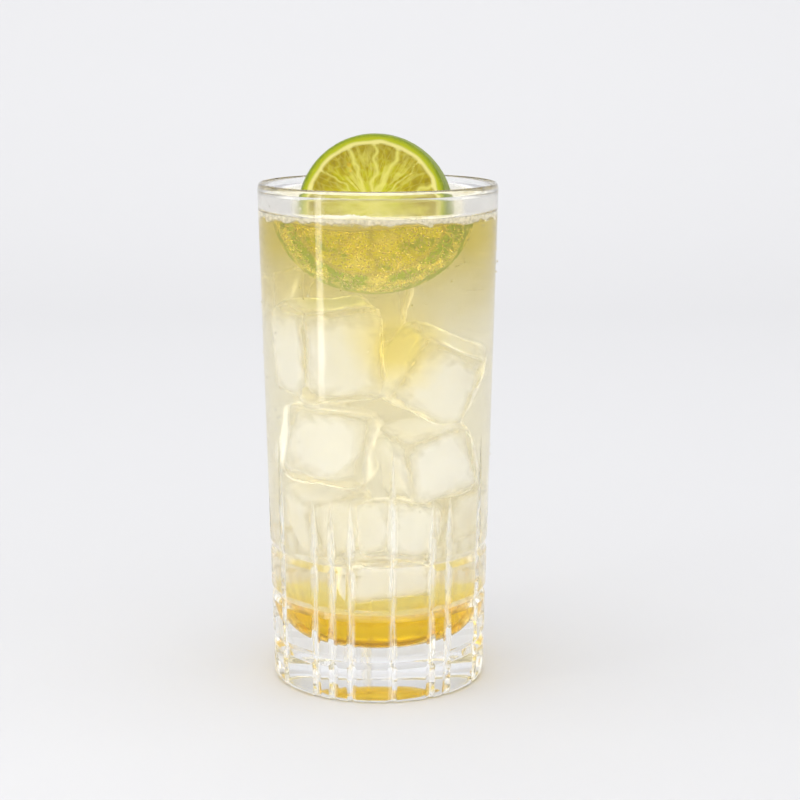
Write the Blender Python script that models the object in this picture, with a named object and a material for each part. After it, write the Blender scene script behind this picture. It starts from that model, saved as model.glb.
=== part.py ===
"""A tall cut-glass tumbler of iced lime and ginger drink, with a thick lime slice standing in it.

Units are metres, +Z is up, and the origin is the middle of the tumbler's foot.
-Y faces the viewer. Every size is worked out from the driving dimensions below.
"""

import math

import bmesh
import bpy
from mathutils import Matrix, Vector

MM = 0.001

# Tumbler
GLASS_HEIGHT = 157 * MM
FOOT_RADIUS = 33.4 * MM
RIM_RADIUS = 37.25 * MM
BORE_RADIUS_AT_RIM = 35.5 * MM
BORE_POWER = 0.2
BORE_HEIGHTS = (110 * MM, 80 * MM, 60 * MM, 46 * MM, 38 * MM)
BOWL_RADII = (24 * MM, 21 * MM, 17.5 * MM, 13 * MM, 7 * MM)
FLOOR_HEIGHT = 13.5 * MM
LIP_DEPTH = 2.2 * MM
FOOT_CHAMFER_HEIGHT = 2.6 * MM
FOOT_CHAMFER_WIDTH = 1.7 * MM
PUNT_RADIUS = 26.0 * MM
PUNT_DEPTH = 2.4 * MM

# Wheel cuts: rings round the foot, and upright flutes that taper out to a point
RING_HEIGHTS = (13 * MM, 28 * MM, 43 * MM)
RING_HALF_HEIGHT = 2.0 * MM
RING_DEPTH = 0.8 * MM
FLUTE_DEPTH = 0.8 * MM
FLUTE_HALF_WIDTH = 1.55 * MM
FLUTE_SHUT_HALF_WIDTH = 0.2 * MM
TALL_FLUTE_TOP = 80 * MM
SHORT_FLUTE_TOP = 64 * MM
TALL_TAPER = 23 * MM
SHORT_TAPER = 14 * MM
FIRST_FLUTE_DEG = -60.0
# Blocks between flutes, seen from the front left to right: broad, narrow and wide
BLOCK_RHYTHM = "BNNWWNB" "WNNWWNB" "WNNWWNW"
BLOCK_DEG = {"B": 25.0, "W": 21.4, "N": 10.3}
BLOCK_INNER_COLUMNS = {"B": 3, "W": 3, "N": 1}
BLOCK_FLATNESS = 0.5

# Drink, with its dense amber layer on the floor of the glass
GAP = 0.3 * MM
AMBER_TOP = 31 * MM
DRINK_TOP = 147.8 * MM
MENISCUS_RISE = 0.6 * MM
MENISCUS_REACH = 2.5 * MM
DRINK_SEGMENTS = 72

# Lime slice
LIME_RADIUS = 24.1 * MM
LIME_HALF_LENGTH = 27.0 * MM
SLICE_FRONT = 10.3 * MM
SLICE_BACK = -0.7 * MM
LIME_CENTRE = Vector((-0.7 * MM, 0.0, 147.6 * MM))
LIME_LEAN_DEG = 15.0
LIME_TURN_DEG = 5.5
LIME_SEGMENTS = 10
RIND_THICKNESS = 2.7 * MM
CORE_RADIUS = 1.6 * MM
PULP_SINK = 0.5 * MM
SKIN_ROWS = 5
PULP_COLUMNS = (0.12, 0.31, 0.5, 0.69, 0.88)
PULP_ROWS = (0.22, 0.5, 0.78, 0.96)


def clear_scene():
    """Removes what the start-up file holds."""
    for thing in list(bpy.data.objects):
        bpy.data.objects.remove(thing)


def make_material(name, colour, roughness, transmission=0.0, ior=1.45):
    """A Principled material with the part's colour, finish and clearness."""
    material = bpy.data.materials.new(name)
    material.use_nodes = True
    shader = material.node_tree.nodes["Principled BSDF"]
    shader.inputs["Base Color"].default_value = (*colour, 1.0)
    shader.inputs["Roughness"].default_value = roughness
    shader.inputs["Metallic"].default_value = 0.0
    shader.inputs["Transmission Weight"].default_value = transmission
    shader.inputs["IOR"].default_value = ior
    return material


def from_axis(point):
    """How far a point is from the Z axis."""
    return math.hypot(point.x, point.y)


def add_wall(mesh, lower, upper):
    """Joins two rings of vertices with triangles, creased where the wall stands out furthest.

    Where two V cuts cross, that crease is the mitre which both wheels leave.
    """
    count = len(lower)
    for i in range(count):
        j = (i + 1) % count
        a, b, c, d = lower[i], lower[j], upper[j], upper[i]
        if from_axis(a.co) + from_axis(c.co) >= from_axis(b.co) + from_axis(d.co):
            mesh.faces.new((a, b, c))
            mesh.faces.new((a, c, d))
        else:
            mesh.faces.new((a, b, d))
            mesh.faces.new((b, c, d))


def solid_from_rings(name, rings, material):
    """A closed object through rings of equal counts, with both end rings filled."""
    mesh = bmesh.new()
    loops = [[mesh.verts.new(point) for point in ring] for ring in rings]
    for lower, upper in zip(loops, loops[1:]):
        add_wall(mesh, lower, upper)
    mesh.faces.new(list(reversed(loops[0])))
    mesh.faces.new(loops[-1])
    bmesh.ops.recalc_face_normals(mesh, faces=mesh.faces)
    data = bpy.data.meshes.new(name)
    mesh.to_mesh(data)
    mesh.free()
    data.shade_smooth()
    data.set_sharp_from_angle(angle=math.radians(18))
    data.materials.append(material)
    made = bpy.data.objects.new(name, data)
    bpy.context.scene.collection.objects.link(made)
    return made


def circle(radius, height, angles):
    """A level ring of points, one for each angle measured from -Y towards +X."""
    return [Vector((radius * math.sin(a), -radius * math.cos(a), height)) for a in angles]


def even_angles(count):
    """Angles spread evenly round a full turn."""
    return [2 * math.pi * i / count for i in range(count)]


def outer_radius(height):
    """The uncut wall's radius: a straight cone from foot to rim."""
    return FOOT_RADIUS + (RIM_RADIUS - FOOT_RADIUS) * height / GLASS_HEIGHT


def bore_radius(height):
    """The inner wall's radius, which opens out of a bowl into a nearly upright wall."""
    left = 1 - (height - FLOOR_HEIGHT) / (GLASS_HEIGHT - FLOOR_HEIGHT)
    return BORE_RADIUS_AT_RIM * (1 - left ** 2) ** BORE_POWER


def bore_height(radius):
    """The height at which the bore has a radius."""
    left = math.sqrt(1 - (radius / BORE_RADIUS_AT_RIM) ** (1 / BORE_POWER))
    return FLOOR_HEIGHT + (GLASS_HEIGHT - FLOOR_HEIGHT) * (1 - left)


def inset(radius, height, gap):
    """A point of the bore, moved square to its wall by a gap."""
    depth = GLASS_HEIGHT - FLOOR_HEIGHT
    left = 1 - (height - FLOOR_HEIGHT) / depth
    share = radius / BORE_RADIUS_AT_RIM
    slope = 2 * BORE_RADIUS_AT_RIM * BORE_POWER * share ** (1 - 1 / BORE_POWER) * left / depth
    length = math.hypot(1, slope)
    return radius - gap / length, height + gap * slope / length


def flutes():
    """Each upright cut as (angle, height of its point, length of its taper)."""
    turn = sum(BLOCK_DEG[letter] for letter in BLOCK_RHYTHM)
    angle = math.radians(FIRST_FLUTE_DEG)
    found = []
    for before, after in zip(BLOCK_RHYTHM[-1] + BLOCK_RHYTHM, BLOCK_RHYTHM):
        short = "N" in (before, after)
        found.append((angle, SHORT_FLUTE_TOP if short else TALL_FLUTE_TOP,
                      SHORT_TAPER if short else TALL_TAPER))
        angle += 2 * math.pi * BLOCK_DEG[after] / turn
    return found


def reach_of(top, taper, height):
    """How fully a flute is cut at a height: 0 at its point and above, 1 below its taper."""
    return min(1.0, max(0.0, (top - height) / taper)) ** 0.8


def ring_depth(height):
    """How deep the ring cuts are at a height."""
    nearest = min(abs(height - level) for level in RING_HEIGHTS)
    return RING_DEPTH * max(0.0, 1 - nearest / RING_HALF_HEIGHT)


def cut_ring(height, radius, level_cut):
    """One ring of the cut outer wall: (angle, radius) pairs laid along the flutes and blocks."""
    cuts = flutes()
    points = []
    for index, (angle, top, taper) in enumerate(cuts):
        letter = BLOCK_RHYTHM[index]
        next_angle, next_top, next_taper = cuts[(index + 1) % len(cuts)]
        if next_angle <= angle:
            next_angle += 2 * math.pi
        reach = reach_of(top, taper, height)
        half = max(FLUTE_HALF_WIDTH * reach, FLUTE_SHUT_HALF_WIDTH) / radius
        next_half = FLUTE_HALF_WIDTH * reach_of(next_top, next_taper, height)
        next_half = max(next_half, FLUTE_SHUT_HALF_WIDTH) / radius
        points.append((angle, radius - max(FLUTE_DEPTH * reach, level_cut)))
        start, end = angle + half, next_angle - next_half
        chord = math.cos((end - start) / 2)
        for step in range(BLOCK_INNER_COLUMNS[letter] + 2):
            share = step / (BLOCK_INNER_COLUMNS[letter] + 1)
            at = start + (end - start) * share
            flat = radius * chord / math.cos(at - (start + end) / 2)
            flatness = BLOCK_FLATNESS * min(reach, reach_of(next_top, next_taper, height))
            points.append((at, radius + (flat - radius) * flatness - level_cut))
    return points


def placed(points, height):
    """(angle, radius) pairs as points at a height."""
    return [Vector((r * math.sin(a), -r * math.cos(a), height)) for a, r in points]


def wall_heights():
    """Heights of the outer wall's rings, at every edge of a cut."""
    edges = [level + step for level in RING_HEIGHTS
             for step in (-RING_HALF_HEIGHT, 0.0, RING_HALF_HEIGHT)]
    tapers = [50 * MM, 57 * MM, SHORT_FLUTE_TOP, 72 * MM, TALL_FLUTE_TOP]
    return edges + tapers + [GLASS_HEIGHT - LIP_DEPTH]


def foot_rings():
    """The hollowed underside, the flat it rests on and the chamfered edge of the foot."""
    angles = [angle for angle, _ in cut_ring(0.0, FOOT_RADIUS, 0.0)]
    punt = [circle(PUNT_RADIUS * share, PUNT_DEPTH * (1 - share ** 2), angles)
            for share in (0.3, 0.7, 1.0)]
    edge = []
    for height, share in ((0.0, 1.0), (0.8 * MM, 0.4), (FOOT_CHAMFER_HEIGHT, 0.0)):
        radius = outer_radius(height) - FOOT_CHAMFER_WIDTH * share
        edge.append(placed(cut_ring(height, radius, 0.0), height))
    return punt + edge


def lip_rings(angles):
    """The rounded rim, from the outer wall over to the bore."""
    outside = outer_radius(GLASS_HEIGHT - LIP_DEPTH)
    inside = bore_radius(GLASS_HEIGHT - LIP_DEPTH)
    middle = (outside + inside) / 2
    half = (outside - inside) / 2
    rings = []
    for turn in (35, 65, 90, 115, 145, 180):
        way = math.radians(turn)
        radius = middle + half * math.cos(way)
        rings.append(circle(radius, GLASS_HEIGHT - LIP_DEPTH * (1 - math.sin(way)), angles))
    return rings


def bore_wall(gap, heights):
    """(radius, height) of the bore at each height, inset by a gap."""
    return [inset(bore_radius(height), height, gap) for height in heights]


def bore_bowl(gap):
    """(radius, height) of the bore from the bowl's edge down to the floor, inset by a gap."""
    return [inset(radius, bore_height(radius), gap) for radius in BOWL_RADII]


def build_tumbler(material):
    """The cut-glass tumbler."""
    rings = foot_rings()
    for height in wall_heights():
        rings.append(placed(cut_ring(height, outer_radius(height), ring_depth(height)), height))
    angles = [angle for angle, _ in cut_ring(GLASS_HEIGHT, RIM_RADIUS, 0.0)]
    rings += lip_rings(angles)
    bore = bore_wall(0.0, BORE_HEIGHTS + (AMBER_TOP,)) + bore_bowl(0.0)
    rings += [circle(r, z, angles) for r, z in bore]
    return solid_from_rings("tumbler", rings, material)


def build_amber_layer(material):
    """The dense layer on the floor of the glass."""
    angles = even_angles(DRINK_SEGMENTS)
    profile = bore_wall(GAP, [AMBER_TOP - GAP / 2]) + bore_bowl(GAP)
    rings = [circle(r, z, angles) for r, z in reversed(profile)]
    return solid_from_rings("amber_layer", rings, material)


def build_drink(material, pocket):
    """The pale drink up to its level, with the meniscus at the wall and a pocket for the slice."""
    angles = even_angles(DRINK_SEGMENTS)
    edge = bore_radius(DRINK_TOP) - GAP
    profile = bore_wall(GAP, (AMBER_TOP + GAP / 2,) + BORE_HEIGHTS[::-1]) + [
        (edge, DRINK_TOP + MENISCUS_RISE),
        (edge - MENISCUS_REACH * 0.35, DRINK_TOP + MENISCUS_RISE * 0.3),
        (edge - MENISCUS_REACH, DRINK_TOP),
    ]
    drink = solid_from_rings("drink", [circle(r, z, angles) for r, z in profile], material)
    cut = drink.modifiers.new("slice_pocket", "BOOLEAN")
    cut.operation = "DIFFERENCE"
    cut.solver = "EXACT"
    cut.object = pocket
    return drink


def skin_radius(along):
    """The lime's radius at a distance along its axis from its widest circle."""
    return LIME_RADIUS * math.sqrt(1 - (along / LIME_HALF_LENGTH) ** 2)


def segment_columns():
    """(angle, in pulp or not) for each column of the slice: a membrane, then the pulp's own."""
    widths = [1 + 0.16 * math.sin(2.4 * i + 0.6) for i in range(LIME_SEGMENTS)]
    columns = []
    angle = math.radians(4)
    for width in widths:
        span = 2 * math.pi * width / sum(widths)
        columns.append((angle, False))
        columns += [(angle + span * share, True) for share in PULP_COLUMNS]
        angle += span
    return columns


def face_ring(radius, along, sunk, outward):
    """One ring of a cut face, its pulp sunk below the membranes. The slice's axis is -Y."""
    ring = []
    for angle, pulp in segment_columns():
        depth = along - outward * (sunk if pulp else 0.0)
        ring.append(Vector((radius * math.sin(angle), -depth, radius * math.cos(angle))))
    return ring


def cut_face(along, outward):
    """Rings of a cut face, from the core out to the skin."""
    edge = skin_radius(along)
    pulp_edge = edge - RIND_THICKNESS
    rings = [face_ring(CORE_RADIUS, along, 0.0, outward)]
    for share in PULP_ROWS:
        rings.append(face_ring(pulp_edge * share, along, PULP_SINK, outward))
    rings.append(face_ring(pulp_edge, along, 0.0, outward))
    rings.append(face_ring(edge, along, 0.0, outward))
    return rings


def skin_rings():
    """The bulging green skin between the two cut faces."""
    rings = []
    for row in range(1, SKIN_ROWS):
        along = SLICE_FRONT + (SLICE_BACK - SLICE_FRONT) * row / SKIN_ROWS
        rings.append(face_ring(skin_radius(along), along, 0.0, 1))
    return rings


def stand_slice(slice_object):
    """Leans the slice back and turns it a little to the left."""
    slice_object.location = LIME_CENTRE
    slice_object.rotation_euler = (-math.radians(LIME_LEAN_DEG), 0.0, -math.radians(LIME_TURN_DEG))


def build_lime_slice(material):
    """The thick lime slice, cut off-centre so that its skin bulges behind the front face."""
    rings = cut_face(SLICE_FRONT, 1) + skin_rings() + list(reversed(cut_face(SLICE_BACK, -1)))
    made = solid_from_rings("lime_slice", rings, material)
    stand_slice(made)
    return made


def build_slice_pocket(material):
    """A plain slice, larger all round by the gap, which cuts the drink."""
    angles = even_angles(56)
    rows = 6
    rings = []
    front, back = SLICE_FRONT + GAP, SLICE_BACK - GAP
    for row in range(rows + 1):
        along = front + (back - front) * row / rows
        rings.append(circle(skin_radius(min(along, SLICE_FRONT)) + GAP, along, angles))
    pocket = solid_from_rings("slice_pocket", rings, material)
    pocket.data.transform(Matrix.Rotation(math.radians(90), 4, "X"))
    stand_slice(pocket)
    pocket.hide_render = True
    pocket.display_type = "WIRE"
    return pocket


def main():
    """Builds the drink in its glass."""
    clear_scene()
    clear_glass = make_material("clear_glass", (0.97, 0.98, 0.98), 0.02, 1.0, 1.52)
    pale_drink = make_material("pale_drink", (0.93, 0.86, 0.55), 0.05, 0.9, 1.34)
    amber_drink = make_material("amber_drink", (0.93, 0.62, 0.08), 0.05, 0.8, 1.36)
    lime = make_material("lime", (0.62, 0.68, 0.10), 0.35)
    build_tumbler(clear_glass)
    build_amber_layer(amber_drink)
    build_lime_slice(lime)
    build_drink(pale_drink, build_slice_pocket(lime))


main()
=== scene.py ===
"""The looks of an iced lime drink in a cut glass tumbler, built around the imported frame.

The tumbler, the drink and the lime slice are modelled again finely over their plain solids, and the
scene adds what is wholly sunk in the drink or too fine for a solid: ice, bubbles, foam, mist and dew.
Lengths are metres, +Z is up and -Y faces the viewer.
"""

import logging
import math
from dataclasses import dataclass
from enum import Enum

import bmesh
import bpy
import numpy as np
from mathutils import Euler, Matrix, Vector, noise


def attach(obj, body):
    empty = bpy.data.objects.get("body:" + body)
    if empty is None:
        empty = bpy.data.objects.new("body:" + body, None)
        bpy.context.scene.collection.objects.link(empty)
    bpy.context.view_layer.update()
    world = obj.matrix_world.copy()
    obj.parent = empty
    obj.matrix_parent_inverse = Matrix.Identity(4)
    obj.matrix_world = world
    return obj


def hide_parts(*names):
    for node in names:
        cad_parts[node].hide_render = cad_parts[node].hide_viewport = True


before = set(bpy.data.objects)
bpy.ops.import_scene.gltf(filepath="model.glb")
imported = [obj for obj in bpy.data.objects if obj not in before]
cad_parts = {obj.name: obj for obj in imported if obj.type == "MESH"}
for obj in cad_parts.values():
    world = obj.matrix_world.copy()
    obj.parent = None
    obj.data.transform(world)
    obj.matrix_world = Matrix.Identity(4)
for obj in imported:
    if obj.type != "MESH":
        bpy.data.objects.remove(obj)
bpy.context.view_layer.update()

BODY = "root"
MM = 0.001
CM2 = 0.0001
Colour = tuple[float, float, float, float]
Vector3 = tuple[float, float, float]

log = logging.getLogger("lime_drink")


class Slot(Enum):
    """The record's material slots; no piece here is given one."""

    GLASS = "clear_glass"
    DRINK = "pale_drink"
    LIME = "lime"


def screen_colour(red: int, green: int, blue: int) -> Colour:
    """Turns a screen colour into the linear colour that a shader takes.

    Args:
        red: Red, 0 to 255.
        green: Green, 0 to 255.
        blue: Blue, 0 to 255.

    Returns:
        The linear colour with full alpha.
    """
    linear = []
    for channel in (red, green, blue):
        share = channel / 255
        linear.append(share / 12.92 if share <= 0.04045 else ((share + 0.055) / 1.055) ** 2.4)
    return (linear[0], linear[1], linear[2], 1.0)


def smooth_step(low: float, high: float, value: np.ndarray) -> np.ndarray:
    """Rises smoothly from 0 at low to 1 at high, or falls where low is the larger."""
    share = np.clip((np.asarray(value) - low) / (high - low), 0.0, 1.0)
    return share * share * (3 - 2 * share)


class Nodes:
    """A node tree, to which nodes are added one at a time."""

    def __init__(self, tree: bpy.types.NodeTree, family: str = "ShaderNode") -> None:
        """Takes a tree.

        Args:
            tree: The tree that the nodes go into.
            family: Prefix of the nodes whose type is given without one.
        """
        self.tree = tree
        self.family = family

    def add(self, kind: str, settings: dict | None = None, **sockets: object) -> bpy.types.Node:
        """Adds a node.

        Args:
            kind: The node's type, in full or without the family's prefix.
            settings: The node's own properties.
            **sockets: Input values or the sockets that feed them, by name, with _ for a space.

        Returns:
            The node.
        """
        node = self.tree.nodes.new(kind if "Node" in kind else self.family + kind)
        for key, value in (settings or {}).items():
            setattr(node, key, value)
        for key, value in sockets.items():
            self.feed(node.inputs[key.replace("_", " ")], value)
        return node

    def feed(self, socket: bpy.types.NodeSocket, value: object) -> None:
        """Links a socket to another, or sets its value.

        Args:
            socket: The input.
            value: Its value, or the socket that feeds it.
        """
        if isinstance(value, bpy.types.NodeSocket):
            self.tree.links.new(value, socket)
        else:
            socket.default_value = value

    def span(self, value: object, low: float, high: float, start: float = 0.0,
             end: float = 1.0) -> bpy.types.NodeSocket:
        """Maps one range onto another, held at both ends.

        Args:
            value: The value or socket to map.
            low: Where the first range starts.
            high: Where the first range ends.
            start: The result at low.
            end: The result at high.

        Returns:
            The result's socket.
        """
        node = self.add("MapRange", None, Value=value)
        for index, number in enumerate((low, high, start, end), 1):
            node.inputs[index].default_value = number
        return node.outputs["Result"]

    def combine(self, first: object, second: object, how: str = "ADD") -> bpy.types.NodeSocket:
        """Joins two values by one of Blender's math operations.

        Args:
            first: First value or socket.
            second: Second value or socket.
            how: Blender's name for the operation.

        Returns:
            The result's socket.
        """
        node = self.add("ShaderNodeMath", {"operation": how})
        self.feed(node.inputs[0], first)
        self.feed(node.inputs[1], second)
        return node.outputs[0]

    def times(self, first: object, second: object) -> bpy.types.NodeSocket:
        """Multiplies two values."""
        return self.combine(first, second, "MULTIPLY")


class Recipe(Nodes):
    """A material whose nodes are added one at a time."""

    def __init__(self, name: str) -> None:
        """Starts an empty material.

        Args:
            name: The material's name.
        """
        self.material = bpy.data.materials.new(name)
        self.material.use_nodes = True
        super().__init__(self.material.node_tree)
        self.tree.nodes.clear()
        self.output = self.add("OutputMaterial")

    def place(self) -> bpy.types.NodeSocket:
        """The point in the object's own coordinates."""
        return self.add("TexCoord").outputs["Object"]

    def height(self, where: bpy.types.NodeSocket) -> bpy.types.NodeSocket:
        """A point's height."""
        return self.add("SeparateXYZ", Vector=where).outputs["Z"]

    def stretch(self, where: bpy.types.NodeSocket, scale: Vector3) -> bpy.types.NodeSocket:
        """A point with each of its coordinates multiplied."""
        return self.add("Mapping", Vector=where, Scale=scale).outputs["Vector"]

    def attribute(self, name: str, output: str = "Fac") -> bpy.types.NodeSocket:
        """A value, or with the output Vector a vector, that the mesh carries at each point."""
        return self.add("Attribute", {"attribute_name": name}).outputs[output]

    def grain(self, where: bpy.types.NodeSocket, scale: float, detail: float = 2.0,
              warp: float = 0.0) -> bpy.types.NodeSocket:
        """Cloudy noise, 0 to 1, at a number of blobs a metre."""
        node = self.add("TexNoise", Vector=where, Scale=scale, Detail=detail, Distortion=warp)
        return node.outputs["Fac"]

    def ramp(self, factor: object, stops: list[tuple[float, Colour]]) -> bpy.types.NodeSocket:
        """Colours along a factor.

        Args:
            factor: The value or socket read along the ramp.
            stops: Place and colour of each stop, in order.

        Returns:
            The ramp's colour socket.
        """
        node = self.add("ValToRGB", Fac=factor)
        band = node.color_ramp
        while len(band.elements) > 1:
            band.elements.remove(band.elements[-1])
        band.elements[0].position, band.elements[0].color = stops[0]
        for position, colour in stops[1:]:
            band.elements.new(position).color = colour
        return node.outputs["Color"]

    def mix(self, factor: object, first: object, second: object) -> bpy.types.NodeSocket:
        """Mixes two colours.

        Args:
            factor: Share of the second colour, a number or socket.
            first: First colour or socket.
            second: Second colour or socket.

        Returns:
            The mixed colour's socket.
        """
        node = self.add("Mix", {"data_type": "RGBA"})
        for index, value in ((0, factor), (6, first), (7, second)):
            self.feed(node.inputs[index], value)
        return node.outputs[2]

    def bump(self, height: bpy.types.NodeSocket, distance: float,
             strength: float = 1.0) -> bpy.types.NodeSocket:
        """Fine relief from a height, as a normal."""
        node = self.add("Bump", Height=height, Distance=distance, Strength=strength)
        return node.outputs["Normal"]

    def surface(self, **sockets: object) -> None:
        """Ends the surface in a Principled shader with these inputs."""
        shader = self.add("BsdfPrincipled", **sockets)
        self.tree.links.new(shader.outputs["BSDF"], self.output.inputs["Surface"])

    def volume(self, tint: Colour, tint_density: float, cloud: Colour, cloud_density: float) -> None:
        """Fills the inside with a clear tint and a fine cloud.

        Args:
            tint: Colour that the clear tint leaves.
            tint_density: How strong the tint is.
            cloud: Colour of the cloud.
            cloud_density: How dense the cloud is.
        """
        both = self.add("AddShader")
        clear = self.add("VolumeAbsorption", Color=tint, Density=tint_density)
        hazy = self.add("VolumeScatter", Color=cloud, Density=cloud_density)
        for index, part in enumerate((clear, hazy)):
            self.feed(both.inputs[index], part.outputs["Volume"])
        self.feed(self.output.inputs["Volume"], both.outputs["Shader"])


@dataclass(frozen=True)
class ClearGlass:
    """Polished clear glass, white in its cuts: partly milky where the wheel has cut it, partly painted
    reflection of the lamps.
    """

    ior: float = 1.52
    colour: Colour = (0.985, 0.992, 0.988, 1.0)
    # How white the cuts go: partly the wheel's milkiness, partly painted reflection.
    milk_and_glint: float = 0.34
    wear: float = 0.03
    wear_grain: float = 240.0
    streak_grain: float = 1400.0
    streak_squeeze: float = 0.08

    def make(self) -> bpy.types.Material:
        """The glass with the faintest wear on its polish and the wheel's streaks in its cuts, whose
        whiteness is partly painted reflection.

        Returns:
            The material.
        """
        recipe = Recipe("clear_glass")
        place = recipe.place()
        roughness = recipe.span(recipe.grain(place, self.wear_grain), 0.55, 0.8, 0.0, self.wear)
        upright = recipe.stretch(place, (1.0, 1.0, self.streak_squeeze))
        streak = recipe.span(recipe.grain(upright, self.streak_grain), 0.35, 0.6, 0.35, 1.0)
        # The cuts lose clearness and go white: partly the wheel's milkiness, partly painted reflection of
        # the lamps that the polished flutes would show.
        cut = recipe.span(recipe.attribute("cut"), 0.05, 0.6, 0.0, self.milk_and_glint)
        clearness = recipe.combine(1.0, recipe.times(cut, streak), "SUBTRACT")
        recipe.surface(Base_Color=self.colour, Roughness=roughness, IOR=self.ior,
                       Transmission_Weight=clearness)
        return recipe.material


@dataclass(frozen=True)
class CloudyDrink:
    """Pale cloudy drink that deepens to amber towards the floor of the glass."""

    ior: float = 1.34
    tint: Colour = (0.96, 0.80, 0.07, 1.0)
    tint_density: float = 6.5
    cloud: Colour = (1.0, 0.985, 0.90, 1.0)
    cloud_density: float = 13.0
    deep_amber: Colour = (1.0, 0.67, 0.0, 1.0)
    light_amber: Colour = (1.0, 0.86, 0.52, 1.0)
    pale: Colour = (1.0, 0.993, 0.975, 1.0)
    foam: Colour = (1.0, 0.97, 0.87, 1.0)
    top: Colour = (0.74, 0.62, 0.12, 1.0)
    top_heights: tuple[float, float] = (111 * MM, 140 * MM)
    pocket: Colour = (1.0, 0.84, 0.24, 1.0)
    pocket_centre: Vector3 = (6 * MM, -33 * MM, 112 * MM)
    pocket_reach: float = 17 * MM
    amber_heights: Vector3 = (25.5 * MM, 27.3 * MM, 30.5 * MM)
    wisp_grain: float = 55.0
    wisp_rise: float = 2 * MM
    foam_heights: tuple[float, float] = (146.7 * MM, 147.3 * MM)
    foam_grain: float = 150.0
    foam_rise: float = 1 * MM
    hole_grain: float = 700.0
    hole_share: float = 0.3
    clearness: float = 0.93
    foam_clearness: float = 0.35
    blur: tuple[float, float] = (0.13, 0.03)
    blur_heights: tuple[float, float] = (100 * MM, 125 * MM)

    def colour(self, recipe: Recipe, foam: bpy.types.NodeSocket) -> bpy.types.NodeSocket:
        """The drink's colour: amber, pale, the deeper top, the bright pocket and the foam.

        Args:
            recipe: The material being made.
            foam: The share of foam.

        Returns:
            The colour's socket.
        """
        place = recipe.place()
        wisp = recipe.span(recipe.grain(place, self.wisp_grain, 3.0, 0.6), 0.3, 0.7,
                           -self.wisp_rise, self.wisp_rise)
        uneven = recipe.combine(recipe.height(place), wisp)
        low, middle, high = self.amber_heights
        stops = [(0.0, self.deep_amber), ((middle - low) / (high - low), self.light_amber), (1.0, self.pale)]
        below = recipe.ramp(recipe.span(uneven, low, high), stops)
        upper = recipe.mix(recipe.span(uneven, *self.top_heights), below, self.top)
        away = recipe.add("VectorMath", {"operation": "DISTANCE"}, Vector=place)
        away.inputs[1].default_value = self.pocket_centre
        near = recipe.span(recipe.combine(away.outputs["Value"], wisp),
                           0.3 * self.pocket_reach, self.pocket_reach, 1.0, 0.0)
        return recipe.mix(foam, recipe.mix(near, upper, self.pocket), self.foam)

    def make(self) -> bpy.types.Material:
        """The drink, its amber fading upwards in uneven wisps.

        Returns:
            The material.
        """
        recipe = Recipe("cloudy_drink")
        place = recipe.place()
        height = recipe.height(place)
        ragged = recipe.span(recipe.grain(place, self.foam_grain, 4.0, 0.5), 0.3, 0.7,
                             -self.foam_rise, self.foam_rise)
        foam = recipe.span(recipe.combine(height, ragged), *self.foam_heights)
        holes = recipe.span(recipe.grain(place, self.hole_grain), 0.4, 0.65, 0.0, self.hole_share)
        dense = recipe.combine(recipe.times(foam, self.clearness - self.foam_clearness),
                               recipe.times(foam, holes), "SUBTRACT")
        recipe.surface(Base_Color=self.colour(recipe, foam),
                       Roughness=recipe.span(height, *self.blur_heights, *self.blur), IOR=self.ior,
                       Transmission_Weight=recipe.combine(self.clearness, dense, "SUBTRACT"))
        recipe.volume(self.tint, self.tint_density, self.cloud, self.cloud_density)
        return recipe.material


@dataclass(frozen=True)
class FrostyIce:
    """Ice that is white with fine air inside and clear in streaks."""

    ior: float = 0.982
    colour: Colour = (1.0, 1.0, 1.0, 1.0)
    roughness: float = 0.14
    clear: float = 0.92
    white: float = 0.03
    cloud_grain: float = 70.0
    cloud_share: float = 0.3

    def make(self) -> bpy.types.Material:
        """The ice, its whiteness in soft clouds.

        Returns:
            The material.
        """
        recipe = Recipe("frosty_ice")
        cloud = recipe.span(recipe.grain(recipe.place(), self.cloud_grain, 3.0, 0.8), 0.3, 0.7,
                            -self.cloud_share, self.cloud_share)
        heart = recipe.combine(recipe.attribute("heart"), cloud)
        clearness = recipe.span(heart, 0.0, 0.6, self.clear, self.white)
        recipe.surface(Base_Color=self.colour, Roughness=self.roughness, IOR=self.ior,
                       Transmission_Weight=clearness)
        return recipe.material


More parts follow.
